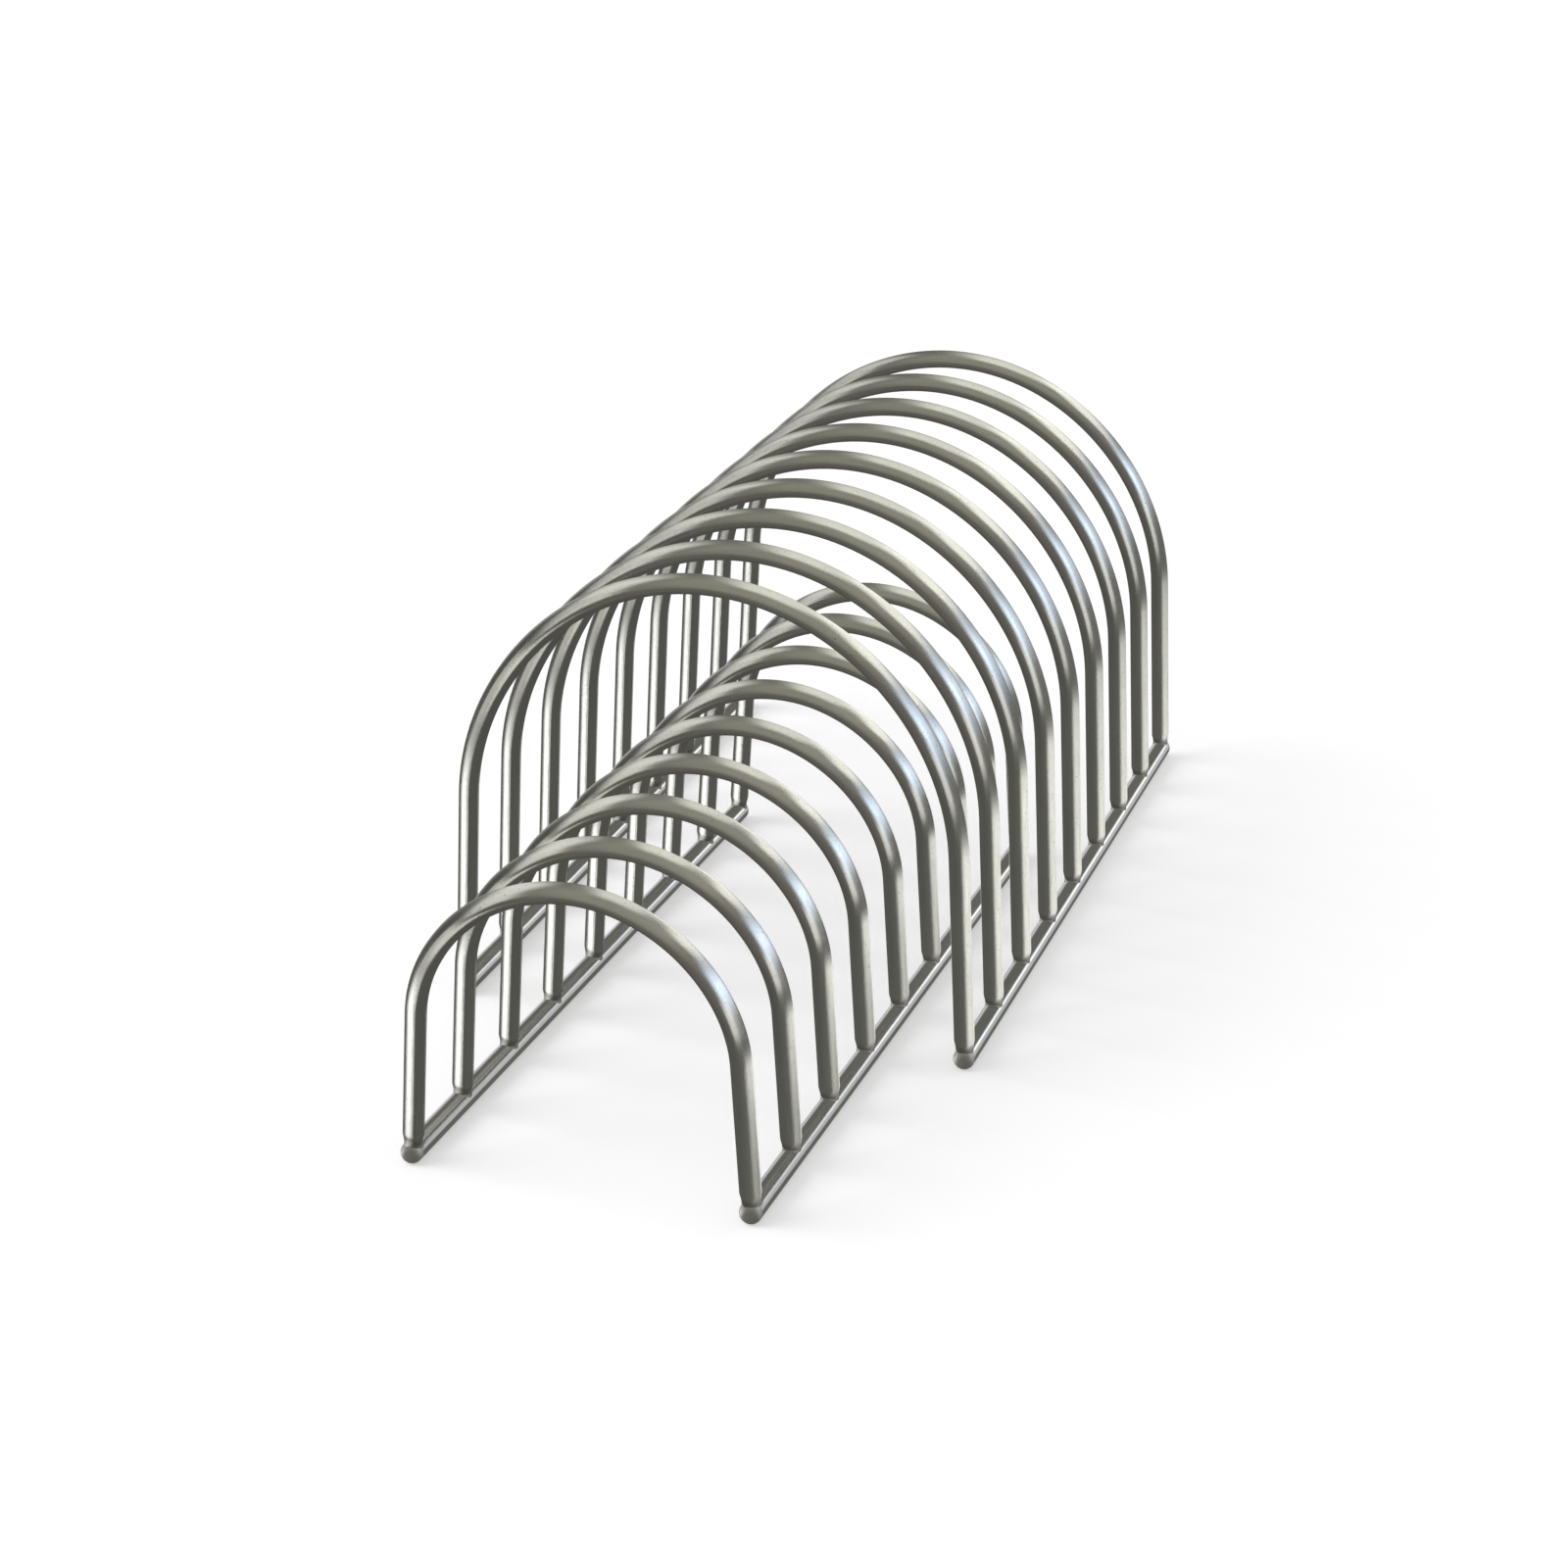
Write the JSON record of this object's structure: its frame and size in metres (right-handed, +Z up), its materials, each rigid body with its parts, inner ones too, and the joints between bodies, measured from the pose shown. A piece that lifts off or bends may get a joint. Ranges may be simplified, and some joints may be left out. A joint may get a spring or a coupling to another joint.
{
  "type": "toast rack",
  "caption": "Nesting pair of satin steel wire racks: arched hoops on straight rails hold slices of toast upright, and the small rack slides inside the large one.",
  "frame": {"origin": "middle of the base of the whole object's box, at table level, with the inner rack standing partly pulled out", "axes": "+Z up, +Y along the racks from the inner rack's open end to the outer rack's far end, +X to the right across the racks"},
  "size_m": [0.1082, 0.2434, 0.0942],
  "materials": {
    "outer_hoop_steel": "satin polished stainless wire with fine drawn grain",
    "outer_rail_steel": "satin polished stainless rod, slightly smoother than the hoops",
    "inner_hoop_steel": "satin polished stainless wire with fine drawn grain",
    "inner_rail_steel": "satin polished stainless rod, slightly smoother than the hoops"
  },
  "bodies": {
    "outer_rack": {"outer_hoop_1": "outer_hoop_steel", "outer_hoop_2": "outer_hoop_steel", "outer_hoop_3": "outer_hoop_steel", "outer_hoop_4": "outer_hoop_steel", "outer_hoop_5": "outer_hoop_steel", "outer_hoop_6": "outer_hoop_steel", "outer_hoop_7": "outer_hoop_steel", "outer_hoop_8": "outer_hoop_steel", "outer_hoop_9": "outer_hoop_steel", "outer_rail_left": "outer_rail_steel", "outer_rail_right": "outer_rail_steel"},
    "inner_rack": {"inner_hoop_1": "inner_hoop_steel", "inner_hoop_2": "inner_hoop_steel", "inner_hoop_3": "inner_hoop_steel", "inner_hoop_4": "inner_hoop_steel", "inner_hoop_5": "inner_hoop_steel", "inner_hoop_6": "inner_hoop_steel", "inner_hoop_7": "inner_hoop_steel", "inner_hoop_8": "inner_hoop_steel", "inner_hoop_9": "inner_hoop_steel", "inner_rail_left": "inner_rail_steel", "inner_rail_right": "inner_rail_steel"}
  },
  "joints": [
    {"name": "inner_rack_slide", "type": "slide", "parent": "outer_rack", "child": "inner_rack", "axis": [0.0178, 0.9998, 0], "range_m": [-0.0797, 0.0687]}
  ]
}
